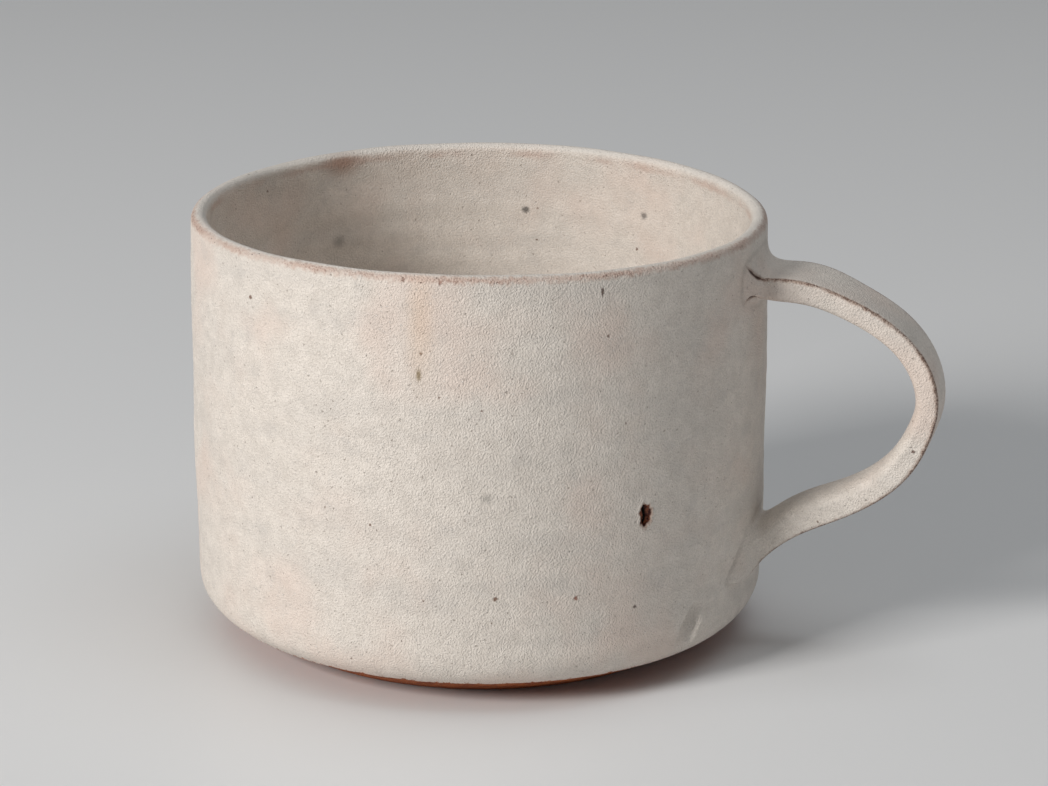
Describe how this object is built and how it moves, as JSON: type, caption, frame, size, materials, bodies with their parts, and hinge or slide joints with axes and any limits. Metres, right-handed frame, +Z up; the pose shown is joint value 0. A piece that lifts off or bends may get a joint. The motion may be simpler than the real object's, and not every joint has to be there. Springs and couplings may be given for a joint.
{
  "type": "cracked mug",
  "caption": "Low, wide stoneware mug with a strap handle, a burst pit with a short crack in its wall, specks and a bare clay foot.",
  "frame": {"origin": "on the cup's axis at the middle of its flat base", "axes": "+Z up along the cup's axis, +X from the axis towards the handle"},
  "size_m": [0.1321, 0.1008, 0.075],
  "materials": {
    "glazed_stoneware": "matt, slightly gritty off-white glaze with fine stipple and iron specks; bare orange-brown clay at the foot and along thin edges"
  },
  "bodies": {
    "root": {"mug": "glazed_stoneware"}
  },
  "joints": []
}
